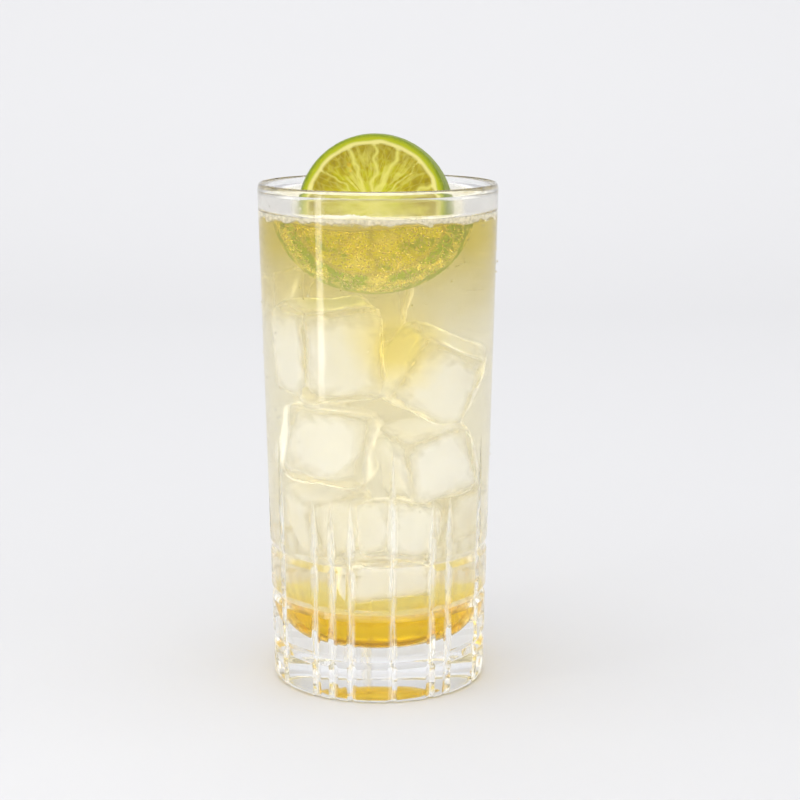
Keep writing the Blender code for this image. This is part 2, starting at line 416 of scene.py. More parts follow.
@dataclass(frozen=True)
class LimeFruit:
    """A cut lime: waxy green skin, bright rind, cream pith and olive-gold pulp, with a painted glow below
    the level.
    """

    skin: Colour = screen_colour(108, 124, 0)
    # Painted glow: brighter green, gold and pale colours for the part below the level, standing in for how
    # the drink lights it.
    sunk_glow_green: Colour = screen_colour(156, 192, 0)
    sunk_glow_gold: Colour = screen_colour(240, 240, 34)
    sunk_glow_pale: Colour = screen_colour(255, 250, 170)
    level: float = 147.8 * MM
    level_blur: float = 2 * MM
    rind: Colour = screen_colour(158, 164, 0)
    pith: Colour = screen_colour(208, 200, 122)
    pulp_deep: Colour = screen_colour(138, 122, 0)
    pulp: Colour = screen_colour(158, 146, 0)
    pulp_pale: Colour = screen_colour(174, 172, 22)
    membrane: Colour = screen_colour(198, 192, 92)
    fleck: Colour = screen_colour(206, 166, 30)
    blotch_grain: float = 260.0
    sac_grain: float = 820.0
    sac_squeeze: float = 0.32
    ray_grain: float = 480.0
    ray_squeeze: float = 0.14
    fleck_grain: float = 420.0
    patch_grain: float = 190.0
    pore_grain: float = 900.0
    pore_relief: float = 0.15 * MM
    flesh_roughness: float = 0.22
    skin_roughness: float = 0.38
    shine: float = 0.25

    def pulp_colour(self, recipe: Recipe) -> bpy.types.NodeSocket:
        """Juice sacs: deeper towards the pith, paler towards the core, with pale walls.

        Args:
            recipe: The material being made.

        Returns:
            The colour's socket.
        """
        polar = recipe.attribute("polar", "Vector")
        reach = recipe.attribute("reach")
        blotch = recipe.span(recipe.grain(polar, self.blotch_grain, 3.0, 1.2), 0.3, 0.7, -0.28, 0.28)
        base = recipe.ramp(recipe.combine(reach, blotch),
                           [(0.15, self.pulp_pale), (0.5, self.pulp), (0.9, self.pulp_deep)])
        long_sacs = recipe.stretch(polar, (1.0, self.sac_squeeze, 1.0))
        sacs = recipe.add("TexVoronoi", {"feature": "DISTANCE_TO_EDGE"}, Vector=long_sacs,
                          Scale=self.sac_grain)
        wall = recipe.span(sacs.outputs["Distance"], 0.02, 0.14, 0.2, 0.0)
        long_rays = recipe.stretch(polar, (1.0, self.ray_squeeze, 1.0))
        ray = recipe.span(recipe.grain(long_rays, self.ray_grain, 3.0, 0.7), 0.52, 0.62, 0.0, 0.75)
        strength = recipe.span(reach, 0.3, 0.8, 1.0, 0.3)
        rayed = recipe.mix(recipe.times(ray, strength), base, self.membrane)
        walled = recipe.mix(wall, rayed, self.membrane)
        rare = recipe.span(recipe.grain(polar, self.fleck_grain, 1.0), 0.72, 0.80, 0.0, 0.4)
        return recipe.mix(rare, walled, self.fleck)

    def make(self) -> bpy.types.Material:
        """The whole fruit, its zones read from the mesh, with a painted glow where it is sunk in the drink.

        Returns:
            The material.
        """
        recipe = Recipe("lime_fruit")
        place = recipe.place()
        sunk = recipe.span(recipe.height(place), self.level - self.level_blur, self.level, 1.0, 0.0)
        patch = recipe.grain(place, self.patch_grain, 4.0, 0.8)
        # Painted glow below the level: the pulp turns pale, gold and bright green in patches.
        sunk_glow_pulp = recipe.ramp(patch, [(0.36, self.sunk_glow_pale), (0.48, self.sunk_glow_gold),
                                      (0.56, self.sunk_glow_gold), (0.66, self.sunk_glow_green)])
        pulp = recipe.mix(recipe.times(sunk, 0.8), self.pulp_colour(recipe), sunk_glow_pulp)
        flesh = recipe.mix(recipe.attribute("membrane"), pulp, self.membrane)
        with_pith = recipe.mix(recipe.attribute("pith"), flesh, self.pith)
        # Painted glow on the rind and peel below the level, pale in patches.
        sunk_glow_peel = recipe.ramp(patch, [(0.42, self.sunk_glow_pale), (0.52, self.sunk_glow_green)])
        with_rind = recipe.mix(recipe.attribute("rind"), with_pith, recipe.mix(sunk, self.rind, sunk_glow_peel))
        mottle = recipe.grain(place, self.pore_grain)
        peel = recipe.mix(recipe.span(mottle, 0.4, 0.7, 0.0, 0.35),
                          recipe.mix(sunk, self.skin, sunk_glow_peel), self.rind)
        is_skin = recipe.attribute("skin")
        recipe.surface(Base_Color=recipe.mix(is_skin, with_rind, peel), Specular_IOR_Level=self.shine,
                       Roughness=recipe.span(is_skin, 0.0, 1.0, self.flesh_roughness, self.skin_roughness),
                       Normal=recipe.bump(mottle, self.pore_relief, 0.5))
        return recipe.material


@dataclass(frozen=True)
class Film:
    """A clear or pale skin or ball of one kind of matter, uneven in places."""

    name: str
    ior: float
    grain: float
    grain_detail: float = 3.0
    grain_span: tuple[float, float] = (0.3, 0.7)
    colour: Colour = (1.0, 1.0, 1.0, 1.0)
    roughness: tuple[float, float] = (0.0, 0.0)
    clearness: tuple[float, float] = (1.0, 1.0)

    def make(self) -> bpy.types.Material:
        """The material, whose roughness or clearness follows the grain where its two values differ.

        Returns:
            The material.
        """
        recipe = Recipe(self.name)
        cloud = recipe.grain(recipe.place(), self.grain, self.grain_detail)
        settled = {}
        for socket, (start, end) in (("Roughness", self.roughness), ("Transmission_Weight", self.clearness)):
            settled[socket] = start if start == end else recipe.span(cloud, *self.grain_span, start, end)
        recipe.surface(Base_Color=self.colour, IOR=self.ior, **settled)
        return recipe.material


FROTH = Film("froth", 1.2, 260.0, grain_span=(0.35, 0.7), colour=screen_colour(250, 247, 232),
             roughness=(0.35, 0.35), clearness=(0.1, 0.6))
FOAM_SKIN = Film("foam_skin", 1.15, 900.0, 2.0, (0.5, 0.8), roughness=(0.0, 0.05))
AIR_IN_DRINK = Film("air_in_drink", 0.78, 900.0, 2.0, (0.5, 0.8), colour=(1.0, 0.94, 0.5, 1.0),
                    roughness=(0.0, 0.05), clearness=(0.6, 0.6))
DEW_WATER = Film("dew_water", 1.33, 900.0, 2.0, (0.5, 0.8), roughness=(0.0, 0.05))
WET_MIST = Film("wet_mist", 1.33, 160.0, colour=(1.0, 0.975, 0.91, 1.0), roughness=(0.13, 0.26))


@dataclass(frozen=True)
class StudioPaper:
    """The plain pale floor and backdrop."""

    colour: Colour = (0.585, 0.585, 0.598, 1.0)

    def make(self) -> bpy.types.Material:
        """Matt paper.

        Returns:
            The material.
        """
        recipe = Recipe("studio_paper")
        recipe.surface(Base_Color=self.colour, Roughness=1.0, Specular_IOR_Level=0.0)
        return recipe.material


def skin_of(name: str, rings: list[np.ndarray], sharp_deg: float = 180.0) -> bpy.types.Mesh:
    """A closed skin through rings of equal counts, each end drawn in to a point.

    Each quad is split along the diagonal that stands out furthest from the Z axis, so that a crease
    between two V cuts runs unbroken.

    Args:
        name: The mesh's name.
        rings: Points of each ring, one row for each point.
        sharp_deg: Edges that turn more than this stay crisp.

    Returns:
        The mesh, with its ring points in order, then the first and the last end's point.
    """
    count = len(rings[0])
    points = np.concatenate(rings + [rings[0].mean(axis=0)[None], rings[-1].mean(axis=0)[None]])
    index = np.arange(len(rings) * count).reshape(len(rings), count)
    turned = np.roll(index, -1, axis=1)
    a, b, c, d = (part.ravel() for part in (index[:-1], turned[:-1], turned[1:], index[1:]))
    reach = np.hypot(points[:, 0], points[:, 1])
    along_ac = (reach[a] + reach[c] >= reach[b] + reach[d])[:, None]
    first = np.where(along_ac, np.stack((a, b, c), 1), np.stack((a, b, d), 1))
    second = np.where(along_ac, np.stack((a, c, d), 1), np.stack((b, c, d), 1))
    start, end = len(points) - 2, len(points) - 1
    low_fan = np.stack((np.full(count, start), turned[0], index[0]), 1)
    high_fan = np.stack((np.full(count, end), index[-1], turned[-1]), 1)
    faces = np.concatenate((first, second, low_fan, high_fan))
    mesh = bpy.data.meshes.new(name)
    mesh.from_pydata(points.tolist(), [], faces.tolist())
    mesh.shade_smooth()
    if sharp_deg < 180:
        mesh.set_sharp_from_angle(angle=math.radians(sharp_deg))
    return mesh


def level_ring(radius: float | np.ndarray, height: float | np.ndarray,
               angles: np.ndarray) -> np.ndarray:
    """A ring round the Z axis, its angles measured from -Y towards +X."""
    height_row = np.broadcast_to(height, angles.shape)
    return np.stack((radius * np.sin(angles), -radius * np.cos(angles), height_row), 1)


def ring_angles(count: int) -> np.ndarray:
    """Even angles round a full turn."""
    return np.linspace(0, 2 * math.pi, count, endpoint=False)


def noise_at(angles: np.ndarray, reach: float, third: float) -> np.ndarray:
    """Smooth noise round a circle of a reach, at a third coordinate."""
    return np.array([noise.noise(Vector((math.sin(a) * reach, math.cos(a) * reach, third))) for a in angles])


def points_of(mesh: bpy.types.Mesh) -> np.ndarray:
    """A mesh's points, one row for each."""
    return np.array([vertex.co for vertex in mesh.vertices])


def clumps_of(mesh: bpy.types.Mesh, grain: float, middle: float, spread: float) -> np.ndarray:
    """Clumpy crowd values at a mesh's points, never under 0."""
    return np.array([max(0.0, middle + noise.noise(vertex.co * grain) * spread) for vertex in mesh.vertices])


def carry(mesh: bpy.types.Mesh, name: str, values: np.ndarray) -> None:
    """Stores a value, or a vector, at each point of a mesh.

    Args:
        mesh: The mesh.
        name: The attribute's name.
        values: A value, or a row of three, for each point.
    """
    kind, field_name = ("FLOAT_VECTOR", "vector") if values.ndim == 2 else ("FLOAT", "value")
    attribute = mesh.attributes.new(name, kind, "POINT")
    attribute.data.foreach_set(field_name, values.astype(np.float32).ravel())


def put_in_scene(mesh: bpy.types.Mesh, material: bpy.types.Material | None) -> bpy.types.Object:
    """Makes an object of a mesh, at the origin, and dresses it.

    Args:
        mesh: The mesh, named as the piece.
        material: Its finish, or None where the mesh has its own.

    Returns:
        The object.
    """
    if material is not None:
        mesh.materials.clear()
        mesh.materials.append(material)
    made = bpy.data.objects.new(mesh.name, mesh)
    bpy.context.scene.collection.objects.link(made)
    return made


def report(piece: bpy.types.Object) -> bpy.types.Object:
    """Fixes a finished piece to the object's body and says so in the log.

    Args:
        piece: The piece.

    Returns:
        The piece.
    """
    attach(piece, BODY)
    piece.data.calc_loop_triangles()
    log.info("%s: %d triangles", piece.name, len(piece.data.loop_triangles))
    return piece


class Block(Enum):
    """The blocks between the flutes, by how much of the way round each takes."""

    BROAD = 25.0
    WIDE = 21.4
    NARROW = 10.3


@dataclass
class Tumbler:
    """The cut glass tumbler, with the sizes that the frame's solid has."""

    height: float = 157 * MM
    foot_radius: float = 33.4 * MM
    rim_radius: float = 37.25 * MM
    bore_at_rim: float = 35.5 * MM
    bore_power: float = 0.2
    bowl_radius: float = 24.0 * MM
    floor: float = 13.5 * MM
    lip_depth: float = 2.2 * MM
    chamfer_height: float = 2.6 * MM
    chamfer_width: float = 1.7 * MM
    punt_radius: float = 26.0 * MM
    punt_depth: float = 2.4 * MM
    ring_heights: tuple[float, ...] = (13 * MM, 28 * MM, 43 * MM)
    ring_half_height: float = 2.0 * MM
    cut_depth: float = 0.8 * MM
    flute_half_width: float = 1.55 * MM
    shut_half_width: float = 0.2 * MM
    tall_flute: tuple[float, float] = (80 * MM, 23 * MM)
    short_flute: tuple[float, float] = (64 * MM, 14 * MM)
    first_flute_deg: float = -60.0
    block_rhythm: str = "BNNWWNB" "WNNWWNB" "WNNWWNW"
    block_flatness: float = 0.5
    cut_shares: tuple[float, ...] = (0.0, 0.35, 0.7, 0.88, 0.96, 1.02, 1.1, 1.25)
    edge_ease: float = 0.035
    level_polish: float = 0.3
    taper_power: float = 0.8
    chamfer_power: float = 1.3
    plain_heights: tuple[float, ...] = (5.0 * MM, 7.5 * MM, 9.5 * MM)
    taper_heights: tuple[float, float] = (47 * MM, 82 * MM)
    upper_start: float = 88 * MM
    crisp_deg: float = 16.0

    def outer(self, height: np.ndarray | float) -> np.ndarray | float:
        """The uncut wall's radius at a height."""
        return self.foot_radius + (self.rim_radius - self.foot_radius) * height / self.height

    def bore(self, height: np.ndarray | float) -> np.ndarray | float:
        """The inner wall's radius at a height: it opens out of a bowl into a nearly upright wall."""
        left = 1 - (height - self.floor) / (self.height - self.floor)
        return self.bore_at_rim * (1 - left ** 2) ** self.bore_power

    def bore_height(self, radius: np.ndarray) -> np.ndarray:
        """The height at which the bore has a radius."""
        left = np.sqrt(1 - (radius / self.bore_at_rim) ** (1 / self.bore_power))
        return self.floor + (self.height - self.floor) * (1 - left)

    def blocks(self) -> list[Block]:
        """The blocks in turn, by the first letters that the rhythm gives."""
        return [block for letter in self.block_rhythm for block in Block if block.name[0] == letter]

    def flutes(self) -> list[tuple[float, float, float]]:
        """The upright cuts, in turn round the glass.

        Returns:
            Each one's angle, height of its point and length of its taper.
        """
        blocks = self.blocks()
        turn = sum(block.value for block in blocks)
        angle = math.radians(self.first_flute_deg)
        found = []
        for before, after in zip(blocks[-1:] + blocks, blocks):
            top, taper = self.short_flute if Block.NARROW in (before, after) else self.tall_flute
            found.append((angle, top, taper))
            angle += 2 * math.pi * after.value / turn
        return found

    def reach_of(self, top: float, taper: float, height: float) -> float:
        """How fully a flute is cut: 0 at its point and above, 1 below its taper."""
        return min(1.0, max(0.0, (top - height) / taper)) ** self.taper_power

    def groove(self, share: np.ndarray | float) -> np.ndarray:
        """A V cut's depth, 1 at its middle and 0 from its edges, with its edges eased."""
        slope = (1 - np.abs(share)) / self.edge_ease
        return self.edge_ease * np.logaddexp(0.0, slope)

    def ring_cut(self, height: float) -> float:
        """How deep the level cuts are at a height."""
        nearest = min(abs(height - level) for level in self.ring_heights)
        return self.cut_depth * float(self.groove(nearest / self.ring_half_height))

    def cut_ring(self, height: float, radius: float,
                 level_cut: float) -> tuple[np.ndarray, np.ndarray, np.ndarray]:
        """One ring of the outer wall, its points laid along the flutes and the blocks.

        Args:
            height: The ring's height.
            radius: The uncut wall's radius there.
            level_cut: Depth of the level cut there.

        Returns:
            The points' angles and radii, and how deep in a cut each lies, from 0 to 1.
        """
        cuts, blocks = self.flutes(), self.blocks()
        angles, radii, shares = [], [], []
        for index, (angle, top, taper) in enumerate(cuts):
            next_angle, next_top, next_taper = cuts[(index + 1) % len(cuts)]
            if next_angle <= angle:
                next_angle += 2 * math.pi
            reach = self.reach_of(top, taper, height)
            next_reach = self.reach_of(next_top, next_taper, height)
            half = max(self.flute_half_width * reach, self.shut_half_width) / radius
            next_half = max(self.flute_half_width * next_reach, self.shut_half_width) / radius
            start = angle + half * self.cut_shares[-1]
            end = next_angle - next_half * self.cut_shares[-1]
            steps = 5 if blocks[index] is Block.NARROW else 10
            middle = np.linspace(start, end, steps + 1)[1:-1]
            left = angle + half * np.array(self.cut_shares)
            right = next_angle - next_half * np.array(self.cut_shares[:0:-1])
            at = np.concatenate((left, middle, right))
            away, next_away = (at - angle) / half, (next_angle - at) / next_half
            depth = self.cut_depth * np.maximum(reach * self.groove(away),
                                                next_reach * self.groove(next_away))
            half_block = (next_angle - angle - half - next_half) / 2
            turn = (at - (angle + half + half_block)) / half_block
            sag = radius * (1 - math.cos(half_block))
            pull = self.block_flatness * min(reach, next_reach) * sag * np.clip(1 - turn ** 2, 0, 1)
            angles.append(at)
            deepest = np.maximum(depth, level_cut)
            radii.append(radius - pull - deepest)
            shares.append(np.maximum(depth, self.level_polish * level_cut) / self.cut_depth)
        return np.concatenate(angles), np.concatenate(radii), np.concatenate(shares)

    def wall_heights(self) -> list[float]:
        """Heights of the outer wall's rings, closest at the cuts and their tapers.

        Returns:
            The heights, from the lowest up.
        """
        shares = [side * share for side in (-1, 1) for share in self.cut_shares]
        near = {round(level + share * self.ring_half_height, 7)
                for level in self.ring_heights for share in shares}
        step = self.ring_heights[1] - self.ring_heights[0]
        blocks = {round(low + step * share, 7) for low in self.ring_heights[:2]
                  for share in (0.3, 0.5, 0.7)}
        tapers = set(np.linspace(*self.taper_heights, 30).round(7))
        upper = set(np.linspace(self.upper_start, self.height - self.lip_depth, 12).round(7))
        return sorted(near | blocks | set(self.plain_heights) | tapers | upper)

    def foot_rings(self) -> tuple[list[np.ndarray], list[np.ndarray]]:
        """The hollowed underside, the flat it rests on and the eased edge of the foot.

        Returns:
            The rings and the cut shares of their points.
        """
        angles = self.cut_ring(0.0, self.foot_radius, 0.0)[0]
        rings = [level_ring(self.punt_radius * share, self.punt_depth * (1 - share ** 2), angles)
                 for share in (0.2, 0.4, 0.6, 0.8, 0.92, 1.0)]
        shares = [np.zeros(len(angles)) for _ in rings]
        for turn in (0, 8, 20, 35, 50, 65, 80):
            way = math.radians(turn)
            height = self.chamfer_height * (1 - math.cos(way))
            radius = self.outer(height) - self.chamfer_width * (1 - math.sin(way)) ** self.chamfer_power
            at, radii, share = self.cut_ring(height, radius, 0.0)
            rings.append(level_ring(radii, height, at))
            shares.append(share)
        return rings, shares

    def lip_rings(self, angles: np.ndarray) -> list[np.ndarray]:
        """The rounded rim, from the outer wall over to the bore.

        Args:
            angles: Angles of each ring's points.

        Returns:
            The rings.
        """
        outside = self.outer(self.height - self.lip_depth)
        inside = self.bore(self.height - self.lip_depth)
        middle, half = (outside + inside) / 2, (outside - inside) / 2
        rings = []
        for turn in range(15, 181, 15):
            way = math.radians(turn)
            height = self.height - self.lip_depth * (1 - math.sin(way))
            rings.append(level_ring(middle + half * math.cos(way), height, angles))
        return rings

    def bore_profile(self, sink: float, top: float) -> np.ndarray:
        """The bore's radius and height from a height down to the floor's middle.

        Args:
            sink: How far the profile reaches into the glass.
            top: Height to start from.

        Returns:
            Radius and height of each ring.
        """
        heights = np.linspace(top, float(self.bore_height(self.bowl_radius)), 30)[:-1]
        radii = np.linspace(self.bowl_radius, 1 * MM, 16)
        profile = np.concatenate((np.stack((self.bore(heights), heights), 1),
                                  np.stack((radii, self.bore_height(radii)), 1)))
        along = np.gradient(profile, axis=0)
        outward = np.stack((-along[:, 1], along[:, 0]), 1)
        return profile + sink * outward / np.linalg.norm(outward, axis=1)[:, None]

    def build(self) -> bpy.types.Object:
        """Makes the glass over its plain solid.

        Returns:
            The glass piece.
        """
        rings, shares = self.foot_rings()
        for height in self.wall_heights():
            angles, radii, share = self.cut_ring(height, self.outer(height), self.ring_cut(height))
            rings.append(level_ring(radii, height, angles))
            shares.append(share)
        angles = self.cut_ring(self.height, self.rim_radius, 0.0)[0]
        inside = self.bore_profile(0.0, self.height - 2 * self.lip_depth)
        rings += self.lip_rings(angles) + [level_ring(r, z, angles) for r, z in inside]
        mesh = skin_of("cut_tumbler", rings, self.crisp_deg)
        cut = np.zeros(len(mesh.vertices))
        cut[:sum(map(len, shares))] = np.concatenate(shares)
        carry(mesh, "cut", cut)
        glass = put_in_scene(mesh, ClearGlass().make())
        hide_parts("tumbler")
        return report(glass)


@dataclass
class Drink:
    """The drink, which fills the glass from its floor to the level and reaches just into its wall."""

    tumbler: Tumbler
    level: float = 147.8 * MM
    meniscus_rise: float = 0.9 * MM
    meniscus_reach: float = 1.1 * MM
    sink: float = 0.12 * MM
    insets_mm: tuple[float, ...] = (0.2, 0.5, 0.9, 1.4, 2.0, 3.0, 4.5, 8, 14, 20, 26, 32)
    ripple: float = 0.25 * MM
    ripple_grain: float = 60.0
    crisp_deg: float = 60.0
    columns: int = 180

    def surface_height(self, radius: float) -> float:
        """The level, drawn up where it meets the glass."""
        edge = self.tumbler.bore(self.level)
        return self.level + self.meniscus_rise * math.exp(-max(0.0, edge - radius) / self.meniscus_reach)

    def build(self) -> bpy.types.Object:
        """Makes the drink in place of the pale and the amber solids.

        Returns:
            The drink piece.
        """
        angles = ring_angles(self.columns)
        edge = self.tumbler.bore(self.level)
        wall = self.tumbler.bore_profile(self.sink, self.surface_height(edge))
        rings = [level_ring(r, z, angles) for r, z in wall[::-1]]
        for inset in self.insets_mm:
            radius = edge - inset * MM
            ripple = noise_at(angles, self.ripple_grain * radius, 3) * self.ripple
            rings.append(level_ring(radius, self.surface_height(radius) + ripple, angles))
        drink = put_in_scene(skin_of("cloudy_drink", rings, self.crisp_deg), CloudyDrink().make())
        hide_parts("drink", "amber_layer")
        return report(drink)


@dataclass(frozen=True)
class IceCube:
    """One cube's place and size in millimetres, and its turn."""

    name: str
    centre: Vector3
    size: Vector3
    turn_deg: Vector3


@dataclass
class Ice:
    """The cubes that are wholly sunk in the drink."""

    cubes: tuple[IceCube, ...] = (
        IceCube("ice_upper_left", (-12, -8, 107), (25, 24, 30), (4, -3, 12)),
        IceCube("ice_upper_right", (13.5, -6, 99), (24, 24, 24), (12, 28, 24)),
        IceCube("ice_upper_back", (-6, 17, 118), (24, 20, 24), (-10, 6, 5)),
        IceCube("ice_middle_left", (-13, -7, 77), (24, 24, 24), (-6, 8, -10)),
        IceCube("ice_middle_right", (13, -9, 73), (22, 22, 23), (8, -12, 26)),
        IceCube("ice_middle_back", (-2, 18, 86), (26, 20, 25), (6, 4, 30)),
        IceCube("ice_low_left", (-10, 3, 53), (19, 22, 20), (10, -14, 8)),
        IceCube("ice_low_middle", (5, -11, 51), (18, 18, 19), (-8, 10, 34)),
        IceCube("ice_low_right", (12, 8, 53), (19, 19, 19), (5, 12, -20)),
        IceCube("ice_bottom", (2, -6, 36), (25, 22, 15), (3, -4, 8)),
    )
    corner: float = 4.6 * MM
    melt: float = 2.0 * MM
    melt_grain: float = 95.0
    cuts: int = 9

    def cube_mesh(self, cube: IceCube) -> bpy.types.Mesh:
        """A cube with rounded corners and faces melted a little uneven.

        Args:
            cube: The cube's place, size and turn.

        Returns:
            Its mesh, in place.
        """
        shape = bmesh.new()
        bmesh.ops.create_cube(shape, size=2.0)
        bmesh.ops.subdivide_edges(shape, edges=shape.edges[:], cuts=self.cuts, use_grid_fill=True)
        half = Vector(cube.size) * MM / 2
        core = Vector([side - self.corner for side in half])
        hearts = []
        for vertex in shape.verts:
            sides = sorted(abs(vertex.co[axis]) for axis in range(3))
            hearts.append((1 - sides[1] ** 2) * (1 - sides[0] ** 2))
            spot = Vector([vertex.co[axis] * half[axis] for axis in range(3)])
            inner = Vector([max(-core[axis], min(core[axis], spot[axis])) for axis in range(3)])
            away = spot - inner
            rounded = inner + away.normalized() * self.corner if away.length > 0 else spot
            melt = noise.noise(spot * self.melt_grain + Vector(cube.centre)) * self.melt
            vertex.co = rounded * (1 + melt / rounded.length)
        mesh = bpy.data.meshes.new(cube.name)
        shape.to_mesh(mesh)
        shape.free()
        carry(mesh, "heart", np.array(hearts))
        turn = Euler([math.radians(angle) for angle in cube.turn_deg]).to_matrix().to_4x4()
        mesh.transform(Matrix.Translation(Vector(cube.centre) * MM) @ turn)
        mesh.shade_smooth()
        return mesh

    def build(self) -> list[bpy.types.Object]:
        """Makes every cube.

        Returns:
            The ice pieces.
        """
        finish = FrostyIce().make()
        return [report(put_in_scene(self.cube_mesh(cube), finish)) for cube in self.cubes]


class Side(Enum):
    """The slice's two cut faces."""

    FRONT = 0
    BACK = 1


@dataclass
class LimeSlice:
    """The thick slice, cut off-centre so that its skin bulges behind the front face."""

    radius: float = 24.1 * MM
    half_length: float = 27.0 * MM
    front: float = 10.3 * MM
    back: float = -0.7 * MM
    centre: Vector3 = (-0.7 * MM, 0.0, 147.6 * MM)
    lean_deg: float = 15.0
    turn_deg: float = 5.5
    rind: float = 2.7 * MM
    pith: float = 0.75 * MM
    core: float = 1.0 * MM
    peel: float = 1.2 * MM
    membranes_deg: tuple[float, ...] = (2, 22, 46, 70, 104, 141, 176, 214, 250, 282, 307, 336)
    membrane_width: float = 0.42 * MM
    membrane_change: float = 0.28 * MM
    membrane_flare: float = 0.5 * MM
    stray: float = 1.9 * MM
    swell: float = 0.34 * MM
    cells: float = 0.22 * MM
    dip: float = 0.38 * MM
    pores: float = 0.10 * MM
    pore_grain: float = 1100.0
    ease: float = 0.12 * MM
    edge_inset: float = 0.105 * MM
    crisp_deg: float = 50.0
    columns: int = 300

    def stand(self) -> Matrix:
        """The slice's lean and turn, and its place."""
        tilt = Euler((-math.radians(self.lean_deg), 0.0, -math.radians(self.turn_deg)))
        return Matrix.Translation(Vector(self.centre)) @ tilt.to_matrix().to_4x4()

    def skin_radius(self, along: np.ndarray | float) -> np.ndarray | float:
        """The fruit's radius at a distance along its axis from its widest circle."""
        return self.radius * np.sqrt(1 - (np.asarray(along) / self.half_length) ** 2)

    def ring(self, radius: np.ndarray | float, along: np.ndarray | float, angles: np.ndarray) -> np.ndarray:
        """A ring round the slice's axis, -Y, its angles measured from the top towards the right."""
        depth = np.broadcast_to(-np.asarray(along), angles.shape)
        return np.stack((radius * np.sin(angles), depth, radius * np.cos(angles)), 1)

    def wander(self, index: int, radius: float) -> float:
        """How far a membrane strays sideways at a radius, in metres."""
        sway = noise.noise(Vector((radius * 330, index * 7.3, 1.7)))
        return sway * self.stray * min(1.0, radius / (6 * MM))

    def membrane_share(self, angle: float, radius: float, side: Side) -> tuple[float, float]:
        """How much of a spot is membrane, and how far into its juice sacs the spot lies.

        Args:
            angle: Angle round the face, from its top towards its right.
            radius: Distance from the face's middle.
            side: The cut face. The membranes stray differently on each.

        Returns:
            The membrane's share and the pulp's swell, 0 to 1.
        """
        nearest = 1.0
        for index, start in enumerate(self.membranes_deg):
            turn = (angle - math.radians(start) + math.pi) % (2 * math.pi) - math.pi
            width = self.membrane_width + self.membrane_change * math.sin(index * 2.3)
            flare = self.membrane_flare * math.exp(-radius / (5 * MM))
            away = abs(turn * radius - self.wander(index + 20 * side.value, radius))
            nearest = min(nearest, away / (width + flare) / 6)
        return math.exp(-(nearest * 6) ** 2), min(1.0, nearest * 1.6)

    def face(self, side: Side) -> tuple[list[np.ndarray], list[np.ndarray]]:
        """One cut face in the slice's own frame, from its middle out.

        Args:
            side: The cut face.

        Returns:
            Its rings, and for each ring the membrane, pith, rind and skin shares at each point.
        """
        angles = ring_angles(self.columns)
        along, out = (self.front, 1) if side is Side.FRONT else (self.back, -1)
        edge_radius = float(self.skin_radius(along))
        pulp_edge = edge_radius - self.rind
        scallop = noise_at(angles, 5, side.value)
        rings, zones = [], []
        for radius in np.concatenate((np.linspace(0.4 * MM, pulp_edge, 46),
                                      np.linspace(pulp_edge, edge_radius - 0.25 * MM, 9)[1:])):
            membrane, swell = np.array([self.membrane_share(a, radius, side) for a in angles]).T
            edge = pulp_edge - 0.5 * MM * (1 - swell) + 0.25 * MM * scallop
            pith = smooth_step(-0.25 * MM, 0.15 * MM, radius - edge)
            rind_start = pulp_edge + self.pith * (1 + 0.7 * scallop)
            rind = smooth_step(-0.2 * MM, 0.5 * MM, radius - rind_start)
            skin = smooth_step(self.peel, 0.1 * MM, edge_radius - radius)
            middle = 1 - smooth_step(self.core * 0.6, self.core * 1.4, radius)
            cells = noise_at(angles, radius * 900, radius * 240) * self.cells
            lift = (1 - pith) * (swell * (self.swell + cells) - self.dip) * min(1.0, radius / (3 * MM))
            rings.append(self.ring(radius, along + out * lift, angles))
            shares = (np.maximum(membrane, middle), pith, rind, skin)
            zones.append(np.stack([np.broadcast_to(share, angles.shape) for share in shares], 1))
        return rings, zones

    def skin(self) -> tuple[list[np.ndarray], list[np.ndarray]]:
        """The bulging skin between the faces, with eased edges and pores.

        Returns:
            Its rings and their shares of membrane, pith, rind and skin.
        """
        angles = ring_angles(self.columns)
        alongs = np.linspace(self.front - self.edge_inset, self.back + self.edge_inset, 34)
        rings, zones = [], []
        for along in alongs:
            pores = noise_at(angles, 26, along * self.pore_grain) * self.pores
            easing = self.ease if along in (alongs[0], alongs[-1]) else 0.0
            rings.append(self.ring(self.skin_radius(along) + pores - easing, along, angles))
            zones.append(np.tile((0.0, 0.0, 1.0, 1.0), (len(angles), 1)))
        return rings, zones

    def build(self) -> bpy.types.Object:
        """Makes the slice over its plain solid.

        Returns:
            The lime piece.
        """
        front_rings, front_zones = self.face(Side.FRONT)
        skin_rings, skin_zones = self.skin()
        back_rings, back_zones = self.face(Side.BACK)
        middles = np.array([[1.0, 0, 0, 0]] * 2)
        zones = np.concatenate(front_zones + skin_zones + back_zones[::-1] + [middles])
        mesh = skin_of("cut_lime", front_rings + skin_rings + back_rings[::-1], self.crisp_deg)
        for index, name in enumerate(("membrane", "pith", "rind", "skin")):
            carry(mesh, name, zones[:, index])
        across, _, up = points_of(mesh).T
        reach, turn = np.hypot(across, up), np.arctan2(across, up)
        carry(mesh, "reach", reach / self.radius)
        carry(mesh, "polar", np.stack((np.sin(turn) * 12 * MM, reach, np.cos(turn) * 12 * MM), 1))
        mesh.transform(self.stand())
        lime = put_in_scene(mesh, LimeFruit().make())
        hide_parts("lime_slice")
        return report(lime)


